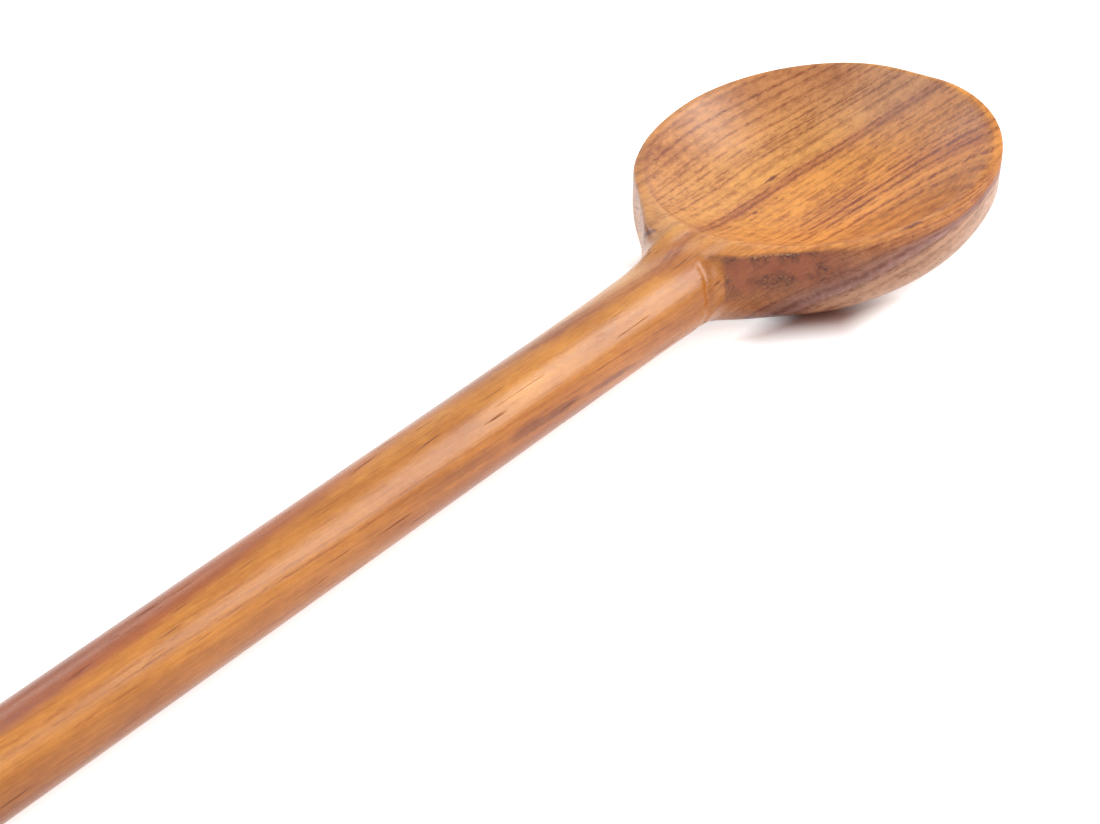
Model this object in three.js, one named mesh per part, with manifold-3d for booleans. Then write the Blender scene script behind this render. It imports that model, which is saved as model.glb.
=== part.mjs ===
// Wooden measuring spoon, carved from one piece of wood.
// Millimetres, +Z up. The origin is the centre of the flat that the bowl rests on,
// +X runs along the spoon to the tip of the bowl and +Y is its left side.
// The body is a loft of sections along X. Each section is a superellipse with its own
// half widths, crown, keel and squareness, so that the round handle turns into the
// board-like bowl at the neck. The hollow is a turned form, stretched to the bowl's
// plan and sunk square to the tilted land.

import * as THREE from 'three';
import { mergeVertices } from 'three/addons/utils/BufferGeometryUtils.js';
import Module from 'manifold-3d';

// Overall
const OVERALL_LENGTH = 250;

// Bowl, seen from above: two half ellipses that meet at the widest station
const BOWL_WIDTH = 60;
const BOWL_TIP_REACH = 36.5;
const BOWL_BACK_REACH = 31.4;
const REST_TO_WIDEST = 22;

// Shoulders, straight from the bowl's ellipse to the handle. As carved, the left one
// starts further down the handle than the right one.
const LEFT_SHOULDER = 8.1;
const RIGHT_SHOULDER = 2.3;
const NECK_HOLLOW = 1.2;

// Handle
const NECK_DIAMETER = 13;
const END_DIAMETER = 10.9;
const END_DOME = 4.4;
const NECK_CLEARANCE = 1.6;

// Land round the hollow: its height at the widest station and its rise to the tip
const LAND_HEIGHT = 17.1;
const LAND_TILT_DEGREES = 5.2;

// Flank and underside
const NECK_WALL = 2.9;
const TIP_WALL = 7;
const NECK_SQUARENESS = 3.6;
const TIP_SQUARENESS = 2.1;
const RIM_SQUARENESS = 12;
const TIP_RIM_SQUARENESS = 24;
const KEEL_START = 21;
const KEEL_POWER = 1.25;
const REST_SANDED = 0.35;

// Neck, where the round handle turns into the flat-topped bowl
const NECK_BLEND_START = 2.1;
const NECK_BLEND_LENGTH = 11.4;

// Hollow: its widest station lies a little ahead of the bowl's
const LEFT_RIM = 2.5;
const RIGHT_RIM = 2.8;
const TIP_RIM = 1.7;
const HOLLOW_AHEAD = 3.5;
const HOLLOW_DEPTH = 10;
const HOLLOW_POWER = 2.2;
const HOLLOW_FLARE = 1.12;

// Facets
const RING_STEPS = 40;
const DOME_STEPS = 6;
const HANDLE_STEPS = 10;
const NECK_STEPS = 18;
const BACK_STEPS = 12;
const TIP_STEPS = 18;
const HOLLOW_ROUND_STEPS = 60;
const HOLLOW_DEPTH_STEPS = 13;

// Derived sizes. Stations are counted from the widest one, positive to the tip.
const { lerp, smoothstep, degToRad } = THREE.MathUtils;
const HALF_WIDTH = BOWL_WIDTH / 2;
const NECK_RADIUS = NECK_DIAMETER / 2;
const END_RADIUS = END_DIAMETER / 2;
const TIP = BOWL_TIP_REACH;
const HANDLE_END = BOWL_TIP_REACH - OVERALL_LENGTH;
const DOME_START = HANDLE_END + END_DOME;
const LEFT_NECK = -(BOWL_BACK_REACH + LEFT_SHOULDER);
const RIGHT_NECK = -(BOWL_BACK_REACH + RIGHT_SHOULDER);
const BLEND_FROM = LEFT_NECK - NECK_BLEND_START;
const BLEND_TO = BLEND_FROM + NECK_BLEND_LENGTH;
const LAND_SLOPE = Math.tan(degToRad(LAND_TILT_DEGREES));

// Height of the land's plane at a station
function land(u) {
  return LAND_HEIGHT + LAND_SLOPE * u;
}

// How far along the handle a station lies: 0 at the neck, 1 at its end
function alongHandle(u) {
  return THREE.MathUtils.clamp((u - LEFT_NECK) / (HANDLE_END - LEFT_NECK), 0, 1);
}

// Handle radius: an even taper with a domed end
function handleRadius(u) {
  const dome = THREE.MathUtils.clamp((DOME_START - u) / END_DOME, 0, 1);
  return lerp(NECK_RADIUS, END_RADIUS, alongHandle(u)) * Math.sqrt(1 - dome * dome);
}

// Height of the handle's axis: the end lies on the ground, the neck stands clear of it
function handleAxis(u) {
  return lerp(NECK_CLEARANCE + NECK_RADIUS, END_RADIUS, alongHandle(u));
}

// The larger of two widths, with a hyperbola for a fillet
function softMax(a, b, softness) {
  return (a + b + Math.hypot(a - b, softness)) / 2;
}

// Shoulder line through the neck corner, tangent to the back half of the bowl
function shoulder(neck) {
  const across = NECK_RADIUS / HALF_WIDTH;
  const along = neck / BOWL_BACK_REACH;
  const angle = Math.atan2(across, along) - Math.acos(1 / Math.hypot(across, along));
  const touchX = BOWL_BACK_REACH * Math.cos(angle);
  const touchY = HALF_WIDTH * Math.sin(angle);
  return { touchX, touchY, slope: (touchY - NECK_RADIUS) / (touchX - neck) };
}

const LEFT = shoulder(LEFT_NECK);
const RIGHT = shoulder(RIGHT_NECK);

// Half width of the plan outline on one side
function halfWidth(u, side) {
  if (u < side.touchX) {
    return softMax(side.touchY + side.slope * (u - side.touchX), handleRadius(u), NECK_HOLLOW);
  }
  const reach = u < 0 ? BOWL_BACK_REACH : BOWL_TIP_REACH;
  return HALF_WIDTH * Math.sqrt(Math.max(0, 1 - (u / reach) ** 2));
}

// Fall of a superellipse from 1 at t = 0 to 0 at t = 1
function fall(t, power) {
  return Math.pow(Math.max(0, 1 - Math.pow(t, power)), 1 / power);
}

// Everything that shapes the section at a station
function section(u) {
  const bowl = smoothstep(u, BLEND_FROM, BLEND_TO);
  const toTip = THREE.MathUtils.clamp((u - LEFT_NECK) / (TIP - LEFT_NECK), 0, 1);
  const wall = lerp(NECK_WALL, TIP_WALL, toTip);
  const keelRun = THREE.MathUtils.clamp((u + KEEL_START) / (TIP + KEEL_START), 0, 1);
  const bowlSide = land(u) - wall;
  const bowlCrown = bowlSide + wall * fall(Math.max(0, u / TIP), TIP_RIM_SQUARENESS);
  const bowlKeel = lerp(land(TIP) - TIP_WALL, -REST_SANDED, fall(keelRun, KEEL_POWER));
  const radius = handleRadius(u);
  const axis = handleAxis(u);
  return {
    left: halfWidth(u, LEFT),
    right: halfWidth(u, RIGHT),
    side: lerp(axis, bowlSide, bowl),
    crown: lerp(axis + radius, bowlCrown, bowl),
    keel: lerp(axis - radius, bowlKeel, bowl),
    topPower: lerp(2, RIM_SQUARENESS, bowl),
    underPower: lerp(2, lerp(NECK_SQUARENESS, TIP_SQUARENESS, toTip), bowl),
  };
}

// Point of a section at an angle round it, counted from the left side over the top
function sectionPoint(u, shape, angle) {
  const across = Math.cos(angle);
  const top = Math.sin(angle) >= 0;
  const reach = across >= 0 ? shape.left : shape.right;
  const power = top ? shape.topPower : shape.underPower;
  const peak = top ? shape.crown : shape.keel;
  const rise = fall(Math.abs(across), power);
  return [REST_TO_WIDEST + u, reach * across, lerp(shape.side, peak, rise)];
}

// Stations between the two end points of the spoon
function stations() {
  const list = [];
  const neckFrom = BLEND_FROM - NECK_BLEND_START;
  const bowlFrom = BLEND_TO + NECK_BLEND_START;
  for (let i = 1; i < DOME_STEPS; i += 1) {
    list.push(DOME_START - END_DOME * Math.cos((i / DOME_STEPS) * (Math.PI / 2)));
  }
  for (let i = 0; i < HANDLE_STEPS; i += 1) list.push(lerp(DOME_START, neckFrom, i / HANDLE_STEPS));
  for (let i = 0; i < NECK_STEPS; i += 1) list.push(lerp(neckFrom, bowlFrom, i / NECK_STEPS));
  for (let i = 0; i < BACK_STEPS; i += 1) list.push(lerp(bowlFrom, 0, i / BACK_STEPS));
  for (let i = 0; i < TIP_STEPS; i += 1) list.push(TIP * Math.sin((i / TIP_STEPS) * (Math.PI / 2)));
  return list;
}

// Skin over the rings, closed by one point at the handle's end and one at the tip
function loft(list) {
  const end = section(HANDLE_END);
  const tip = section(TIP);
  const points = [REST_TO_WIDEST + HANDLE_END, 0, end.side];
  for (const u of list) {
    const shape = section(u);
    for (let k = 0; k < RING_STEPS; k += 1) {
      points.push(...sectionPoint(u, shape, (k / RING_STEPS) * 2 * Math.PI));
    }
  }
  points.push(REST_TO_WIDEST + TIP, 0, tip.side);
  const index = [];
  const last = 1 + list.length * RING_STEPS;
  const at = (ring, k) => 1 + ring * RING_STEPS + (k % RING_STEPS);
  for (let k = 0; k < RING_STEPS; k += 1) {
    index.push(0, at(0, k + 1), at(0, k));
    index.push(last, at(list.length - 1, k), at(list.length - 1, k + 1));
    for (let ring = 0; ring + 1 < list.length; ring += 1) {
      index.push(at(ring, k), at(ring, k + 1), at(ring + 1, k));
      index.push(at(ring, k + 1), at(ring + 1, k + 1), at(ring + 1, k));
    }
  }
  const geometry = new THREE.BufferGeometry();
  geometry.setAttribute('position', new THREE.Float32BufferAttribute(points, 3));
  geometry.setIndex(index);
  return geometry;
}

// Form that is taken out of the bowl: turned about its middle, then stretched to the
// plan of the hollow and set on the tilted land
function hollowForm() {
  const profile = [];
  for (let i = 0; i <= HOLLOW_DEPTH_STEPS; i += 1) {
    const out = (i / HOLLOW_DEPTH_STEPS) * HOLLOW_FLARE;
    profile.push(new THREE.Vector2(out, HOLLOW_DEPTH * (Math.pow(out, HOLLOW_POWER) - 1)));
  }
  profile.push(new THREE.Vector2(0, profile[HOLLOW_DEPTH_STEPS].y));
  const geometry = new THREE.LatheGeometry(profile, HOLLOW_ROUND_STEPS);
  geometry.rotateX(Math.PI / 2);
  const position = geometry.getAttribute('position');
  const left = HALF_WIDTH - LEFT_RIM;
  const right = HALF_WIDTH - RIGHT_RIM;
  const toBack = BOWL_BACK_REACH + HOLLOW_AHEAD;
  const toTip = TIP - TIP_RIM - HOLLOW_AHEAD;
  for (let i = 0; i < position.count; i += 1) {
    const u = HOLLOW_AHEAD + position.getX(i) * (position.getX(i) < 0 ? toBack : toTip);
    const y = (left - right) / 2 + position.getY(i) * ((left + right) / 2);
    position.setXYZ(i, REST_TO_WIDEST + u, y, land(u) + position.getZ(i));
  }
  return geometry;
}

// Block under the ground, which sands the resting flat
function groundBlock() {
  const block = new THREE.BoxGeometry(OVERALL_LENGTH, BOWL_WIDTH, LAND_HEIGHT);
  return block.translate(BLEND_FROM + OVERALL_LENGTH / 2 + REST_TO_WIDEST, 0, -LAND_HEIGHT / 2);
}

const wasm = await Module();
wasm.setup();

function toSolid(source) {
  const bare = source.clone();
  bare.deleteAttribute('normal');
  bare.deleteAttribute('uv');
  const merged = mergeVertices(bare, 1e-5);
  return new wasm.Manifold(new wasm.Mesh({
    numProp: 3,
    vertProperties: new Float32Array(merged.getAttribute('position').array),
    triVerts: new Uint32Array(merged.getIndex().array),
  }));
}

function toGeometry(solid) {
  const mesh = solid.getMesh();
  const geometry = new THREE.BufferGeometry();
  geometry.setAttribute('position', new THREE.BufferAttribute(mesh.vertProperties, 3));
  geometry.setIndex(new THREE.BufferAttribute(mesh.triVerts, 1));
  geometry.computeVertexNormals();
  return geometry;
}

const body = toSolid(loft(stations()));
const carved = body.subtract(toSolid(hollowForm())).subtract(toSolid(groundBlock()));

const wood = new THREE.MeshStandardMaterial({ color: 0xb8722f, roughness: 0.5, metalness: 0 });
const spoon = new THREE.Mesh(toGeometry(carved), wood);
spoon.name = 'spoon';

const group = new THREE.Group();
group.name = 'wooden_measuring_spoon';
group.add(spoon);

export default group;
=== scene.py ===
"""A carved, oiled wooden measuring spoon on a white studio floor.

The frame has its origin at the resting flat, +X along the spoon to the tip, +Y to its left and +Z up.
Forms are worked out in millimetres and put into the meshes in metres.
"""

import logging
import math
from dataclasses import dataclass, field
from enum import Enum
from functools import cached_property
from typing import Callable, Sequence

import bpy
import numpy as np
from mathutils import Matrix, Vector


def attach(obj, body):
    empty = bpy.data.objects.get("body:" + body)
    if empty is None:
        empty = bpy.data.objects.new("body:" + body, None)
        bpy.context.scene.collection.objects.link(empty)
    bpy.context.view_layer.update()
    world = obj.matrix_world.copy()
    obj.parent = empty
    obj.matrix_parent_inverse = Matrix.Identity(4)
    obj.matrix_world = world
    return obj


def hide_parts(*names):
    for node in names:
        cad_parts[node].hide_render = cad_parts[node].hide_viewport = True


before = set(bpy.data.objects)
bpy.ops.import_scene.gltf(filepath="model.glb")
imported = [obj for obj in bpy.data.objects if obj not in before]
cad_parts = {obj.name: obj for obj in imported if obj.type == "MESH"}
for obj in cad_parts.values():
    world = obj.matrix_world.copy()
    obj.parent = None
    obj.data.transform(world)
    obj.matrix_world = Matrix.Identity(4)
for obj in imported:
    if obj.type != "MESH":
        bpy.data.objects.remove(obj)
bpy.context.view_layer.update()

LOG = logging.getLogger("spoon")
MM = 0.001
HALVINGS = 36
SLOPE_STEP = 0.05
Array = np.ndarray
Number = Array | float
Range = tuple[float, float]
Colour = tuple[float, float, float]
Socket = bpy.types.NodeSocket
Input = Socket | float | Sequence[float]


class Side(Enum):
    """A half of the spoon as seen from the handle; the value is the sign of Y there."""

    LEFT = 1
    RIGHT = -1


class Zone(Enum):
    """What is known of each point; the value names the mesh attribute that holds it."""

    LAYER = "layer"
    BOWL = "bowl"
    END_GRAIN = "end_grain"
    RIM_EDGE = "rim_edge"
    LIP = "lip"
    LEVEL = "level"
    HOLLOW = "hollow_share"
    # painted shade along the crease at the back of the hollow
    CREASE_SHADE = "crease"
    ROUGH = "rough_cut"
    # reddish wood, with painted shade on the handle's upper left and on the neck's top
    RUSSET_AND_SHADE = "russet_and_shade"


def lerp(a: Number, b: Number, t: Number) -> Array:
    """Straight blend from a at t = 0 to b at t = 1."""
    return a + (b - a) * t


def smoothstep(t: Array, low: float, high: float) -> Array:
    """Cubic step 3s2 - 2s3 of the share s that t has come from low to high."""
    s = np.clip((t - low) / (high - low), 0.0, 1.0)
    return s * s * (3.0 - 2.0 * s)


def hill(t: Array, middle: Number, reach: float) -> Array:
    """Bell curve: e to the minus square of the distance from the middle over the reach."""
    return np.exp(-(((t - middle) / reach) ** 2))


def soft_max(a: Number, b: Number, radius: Number) -> Array:
    """The larger of two heights, rounded where they cross: half of a + b + hypot(a - b, radius)."""
    return 0.5 * (a + b + np.hypot(a - b, radius))


def soft_min(a: Number, b: Number, radius: Number) -> Array:
    """The smaller of two heights, rounded where they cross: half of a + b - hypot(a - b, radius)."""
    return 0.5 * (a + b - np.hypot(a - b, radius))


def fall(share: Array, power: Number) -> Array:
    """Superellipse quarter: the root, of that power, of one less the share raised to that power."""
    return np.clip(1.0 - np.abs(share) ** power, 0.0, None) ** (1.0 / power)


def last_inside(low: Array, high: Array, inside: Callable[[Array], Array]) -> Array:
    """The last places from low to high that are inside, found by halving.

    Args:
        low: places inside.
        high: places outside.
        inside: tells which places are inside.

    Returns:
        The places.
    """
    for _ in range(HALVINGS):
        middle = 0.5 * (low + high)
        within = inside(middle)
        low = np.where(within, middle, low)
        high = np.where(within, high, middle)
    return low


def linear(rgb: Colour) -> tuple[float, float, float, float]:
    """Scene-linear colour of an sRGB colour that is written in 0 to 255.

    Args:
        rgb: red, green and blue from 0 to 255.

    Returns:
        The linear red, green and blue from 0 to 1, and an alpha of 1.
    """
    share = np.asarray(rgb, dtype=float) / 255.0
    curve = np.where(share <= 0.04045, share / 12.92, ((share + 0.055) / 1.055) ** 2.4)
    return (float(curve[0]), float(curve[1]), float(curve[2]), 1.0)


class NodeBench:
    """Short ways to lay out and join the nodes of one material."""

    def __init__(self, tree: bpy.types.NodeTree) -> None:
        """Starts with an empty tree."""
        tree.nodes.clear()
        self.tree = tree

    @cached_property
    def place(self) -> Socket:
        """The point in the object's own space, in millimetres."""
        point = self.node("ShaderNodeTexCoord", {}).outputs["Object"]
        return self.node("ShaderNodeVectorMath", {0: point, "Scale": 1.0 / MM}, operation="SCALE").outputs[0]

    @cached_property
    def axes(self) -> Sequence[Socket]:
        """The point's X, Y and Z in millimetres."""
        return self.node("ShaderNodeSeparateXYZ", {0: self.place}).outputs

    def node(self, kind: str, inputs: dict[int | str, Input], **settings: object) -> bpy.types.Node:
        """Makes a node, and joins outputs to its inputs or sets plain values on them.

        Args:
            kind: the node's type.
            inputs: an output or a plain value for each input, by number or name.
            settings: the node's own settings.

        Returns:
            The new node.
        """
        made = self.tree.nodes.new(kind)
        for name, value in settings.items():
            setattr(made, name, value)
        for name, value in inputs.items():
            if isinstance(value, Socket):
                self.tree.links.new(value, made.inputs[name])
            else:
                made.inputs[name].default_value = value
        return made

    def math(self, operation: str, *values: Input) -> Socket:
        """One arithmetic step on numbers."""
        return self.node("ShaderNodeMath", dict(enumerate(values)), operation=operation).outputs[0]

    def times(self, first: Input, second: Input) -> Socket:
        """The product of two numbers."""
        return self.math("MULTIPLY", first, second)

    def larger(self, first: Input, second: Input) -> Socket:
        """The larger of two numbers."""
        return self.math("MAXIMUM", first, second)

    def plus(self, total: Input, value: Input, share: Input) -> Socket:
        """The total, and the value times the share."""
        return self.math("MULTIPLY_ADD", value, share, total)

    def dot(self, first: Socket, second: Socket) -> Socket:
        """The dot product of two vectors."""
        made = self.node("ShaderNodeVectorMath", {0: first, 1: second}, operation="DOT_PRODUCT")
        return made.outputs["Value"]

    def vector(self, *values: Input) -> Socket:
        """A vector of up to three numbers."""
        return self.node("ShaderNodeCombineXYZ", dict(enumerate(values))).outputs[0]

    def noise(
        self,
        stretch: Sequence[float],
        detail: float = 2.0,
        rough: float = 0.5,
        shift: Sequence[float] = (0.0, 0.0, 0.0),
    ) -> Socket:
        """Cloudy noise from 0 to 1 in millimetre space.

        Args:
            stretch: waves per millimetre along X, Y and Z.
            detail: how many finer octaves are added.
            rough: how strong each finer octave is.
            shift: an offset that tells one pattern from the next.

        Returns:
            The noise as a number.
        """
        spread = {0: self.place, 1: tuple(stretch), 2: tuple(shift)}
        scaled = self.node("ShaderNodeVectorMath", spread, operation="MULTIPLY_ADD").outputs[0]
        inputs = {"Vector": scaled, "Scale": 1.0, "Detail": detail, "Roughness": rough}
        return self.node("ShaderNodeTexNoise", inputs, noise_dimensions="3D").outputs[0]

    def line_noise(self, value: Socket, waves: float, detail: float, rough: float = 0.5) -> Socket:
        """Noise from 0 to 1 along one number, with that many waves per unit of it."""
        inputs = {"W": value, "Scale": waves, "Detail": detail, "Roughness": rough}
        return self.node("ShaderNodeTexNoise", inputs, noise_dimensions="1D").outputs[0]

    def span(
        self, value: Socket, low: float, high: float, to_low: float = 0.0, to_high: float = 1.0
    ) -> Socket:
        """The value carried from low..high to to_low..to_high, and held at the ends."""
        inputs = dict(enumerate((value, low, high, to_low, to_high)))
        return self.node("ShaderNodeMapRange", inputs, clamp=True).outputs[0]

    def ramp(self, value: Socket, stops: Sequence[tuple[float, Sequence[float]]]) -> Socket:
        """A colour ramp over 0 to 1.

        Args:
            value: the number that the ramp is read at.
            stops: a place and a linear colour each.

        Returns:
            The colour.
        """
        made = self.node("ShaderNodeValToRGB", {0: value})
        steps = made.color_ramp.elements
        while len(steps) < len(stops):
            steps.new(0.5)
        for step, (place, colour) in zip(steps, stops):
            step.position = place
            step.color = tuple(colour)
        return made.outputs[0]

    def mix(self, share: Input, first: Input, second: Input, blend: str = "MIX") -> Socket:
        """Two colours blended by a share."""
        inputs = {0: share, 6: first, 7: second}
        return self.node("ShaderNodeMix", inputs, data_type="RGBA", blend_type=blend).outputs[2]

    def cover(self, base: Input, share: Input, colour: Colour) -> Socket:
        """The base covered by a colour, as far as the share says."""
        return self.mix(share, base, linear(colour))

    def zone(self, which: Zone) -> Socket:
        """The share of that zone, read from the mesh."""
        return self.node("ShaderNodeAttribute", {}, attribute_name=which.value).outputs["Fac"]

    def clear_rays(self) -> Socket:
        """Tells rays that see a thing clearly from soft light.

        Returns:
            One for rays from the camera, mirrored rays and rays through glass, zero for soft light.
        """
        path = self.node("ShaderNodeLightPath", {}).outputs
        seen = self.larger(path["Is Camera Ray"], path["Is Transmission Ray"])
        return self.larger(seen, path["Is Glossy Ray"])


@dataclass(frozen=True)
class Streak:
    """One dark growth layer.

    Attributes:
        layer: its place along the layer axis, in millimetres.
        half_width: half of its thickness there.
        depth: how dark it is at the back, the middle and the tip of the bowl; 1 is dark, more adds plum.
    """

    layer: float
    half_width: float
    depth: tuple[float, float, float]


STREAK_ROWS: tuple[tuple[float, ...], ...] = (
    (-12.4, 0.3, 0.3, 0.3, 0.2),
    (-10.2, 0.3, 0.3, 0.4, 0.3),
    (-8.7, 0.35, 0.5, 0.6, 0.5),
    (-7.3, 0.7, 0.65, 0.65, 0.5),
    (-5.7, 0.4, 0.5, 0.6, 0.6),
    (-4.6, 0.25, 0.4, 0.4, 0.4),
    (-3.7, 0.3, 0.5, 0.5, 0.4),
    (-2.9, 0.2, 0.4, 0.5, 0.4),
    (-2.3, 0.24, 0.5, 0.75, 0.6),
    (-1.65, 0.22, 0.4, 0.8, 0.6),
    (-1.15, 0.16, 0.1, 0.2, 0.2),
    (-0.65, 0.22, 0.4, 0.9, 0.7),
    (-0.15, 0.15, 0.1, 0.2, 0.3),
    (0.45, 0.28, 0.7, 1.1, 1.0),
    (1.4, 0.2, 0.4, 0.45, 0.3),
    (1.95, 0.26, 0.9, 1.15, 0.9),
    (2.45, 0.18, 0.1, 0.15, 0.2),
    (2.97, 0.3, 0.8, 1.4, 1.1),
    (3.55, 0.24, 0.3, 0.6, 0.45),
    (4.3, 0.24, 0.4, 0.9, 0.9),
    (4.8, 0.15, 0.1, 0.15, 0.3),
    (5.35, 0.24, 0.45, 0.8, 0.6),
    (5.95, 0.22, 0.25, 0.45, 0.75),
    (8.4, 0.26, 0.2, 0.3, 0.6),
    (11.05, 0.36, 0.7, 0.7, 0.5),
    (11.87, 0.27, 0.85, 0.85, 0.8),
    (12.9, 0.2, 0.1, 0.6, 0.1),
    (14.45, 0.18, 0.35, 0.25, 0.55),
    (15.0, 0.2, 0.15, 0.6, 0.35),
    (16.2, 0.22, 0.7, 0.6, 0.75),
    (17.35, 0.22, 0.6, 0.7, 0.75),
    (19.4, 0.24, 0.75, 0.7, 0.55),
    (20.4, 0.18, 0.55, 0.3, 0.4),
    (21.0, 0.24, 0.4, 0.65, 0.7),
    (22.6, 0.22, 0.5, 0.45, 0.45),
    (23.75, 0.28, 0.8, 0.75, 0.75),
    (25.5, 0.26, 0.5, 0.55, 0.5),
)
DARK_LAYERS = tuple(Streak(layer, half, tuple(depth)) for layer, half, *depth in STREAK_ROWS)
STREAKS_PER_RAMP = 9
TONES: tuple[tuple[float, Colour], ...] = (
    (-14.0, (219, 167, 132)),
    (-9.2, (215, 161, 124)),
    (-8.0, (184, 136, 130)),
    (-6.6, (176, 122, 104)),
    (-5.0, (212, 135, 72)),
    (-2.0, (232, 152, 70)),
    (1.0, (244, 162, 74)),
    (3.0, (238, 156, 70)),
    (6.0, (242, 162, 68)),
    (10.0, (234, 157, 68)),
    (11.6, (212, 134, 68)),
    (13.0, (234, 165, 82)),
    (18.0, (228, 159, 84)),
    (24.0, (218, 146, 78)),
    (30.0, (222, 150, 82)),
)


@dataclass(frozen=True)
class Mark:
    """A small dark mark in the wood.

    Attributes:
        x: its place along X, in millimetres.
        layer: its place along the layer axis.
        length: half of its length along X.
        width: half of its width along the layer axis.
        depth: how dark it is, from 0 to 1.
    """

    x: float
    layer: float
    length: float
    width: float
    depth: float = 1.0


MARKS: tuple[Mark, ...] = (
    Mark(25.2, 12.9, 2.0, 0.36),
    Mark(-14.8, 15.5, 1.0, 0.5),
    Mark(13.0, 9.9, 1.3, 0.2),
    Mark(10.5, -2.8, 3.0, 0.22),
    Mark(-46.0, 0.6, 7.0, 0.6, 0.7),
    Mark(-58.0, 0.9, 6.0, 0.8, 0.75),
    Mark(-65.0, 1.0, 6.5, 0.95, 0.7),
    Mark(-79.0, 1.1, 11.0, 0.9, 0.5),
)


@dataclass(frozen=True)
class OiledTeak:
    """Oiled teak: golden growth layers with dark streaks, long fibres, fine pores and a satin sheen."""

    layer_low: float = -16.0
    layer_high: float = 34.0
    streak_spots: tuple[float, float, float] = (2.0, 24.0, 48.0)
    warm_tint: Colour = (184, 146, 118)
    mottle_tint: Colour = (226, 200, 172)
    plum_tint: Colour = (206, 186, 198)
    mark_tint: Colour = (160, 124, 136)
    pore_tint: Colour = (178, 156, 142)
    # painted shade for the crease line inside the hollow's edge
    crease_shade_tint: Colour = (206, 184, 168)
    # reddish wood, and painted shade on the handle's upper left and on the neck's top
    russet_and_shade_tint: Colour = (214, 176, 146)
    end_brown: Colour = (196, 132, 104)
    cut_brown: Colour = (178, 104, 78)
    cut_shade: Colour = (122, 71, 58)
    torn_brown: Colour = (88, 46, 42)
    torn_share: float = 0.7
    straw: Colour = (246, 210, 168)
    straw_share: float = 0.65
    relief_strength: float = 0.4
    relief_height: float = 0.12

    def material(self) -> bpy.types.Material:
        """The node material.

        Returns:
            The finished material.
        """
        made = bpy.data.materials.new("oiled_teak")
        made.use_nodes = True
        bench = TeakBench(made.node_tree, self)
        surface = {
            "Base Color": bench.cut_wood(bench.sound_wood()),
            "Roughness": bench.roughness(),
            "Normal": bench.relief(),
        }
        shader = bench.node("ShaderNodeBsdfPrincipled", surface).outputs[0]
        bench.node("ShaderNodeOutputMaterial", {"Surface": shader})
        return made

    def on_ramp(self, layer: float) -> float:
        """Place of a layer on a ramp over all layers."""
        return (layer - self.layer_low) / (self.layer_high - self.layer_low)


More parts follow.
